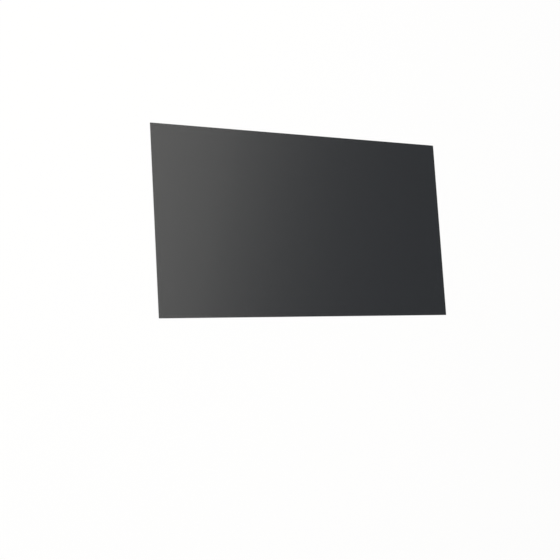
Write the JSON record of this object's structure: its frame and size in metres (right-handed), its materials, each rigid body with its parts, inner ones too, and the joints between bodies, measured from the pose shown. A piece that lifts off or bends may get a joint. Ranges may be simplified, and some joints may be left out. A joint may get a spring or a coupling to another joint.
{
  "type": "monitor privacy filter",
  "caption": "Flat rectangular sheet of dark louvre film that lies over a monitor screen and hides the picture from people at its sides.",
  "frame": {"origin": "middle of the back face, which lies against the screen in use and on the surface under the sheet at rest", "axes": "+X across the screen to the viewer's right, +Y up the screen, +Z out of the viewing face"},
  "size_m": [0.532, 0.299, 0.0005],
  "materials": {
    "louvre_film": "dark see-through film with a satin hard coat"
  },
  "bodies": {
    "root": {"filter_sheet": "louvre_film"}
  },
  "joints": []
}
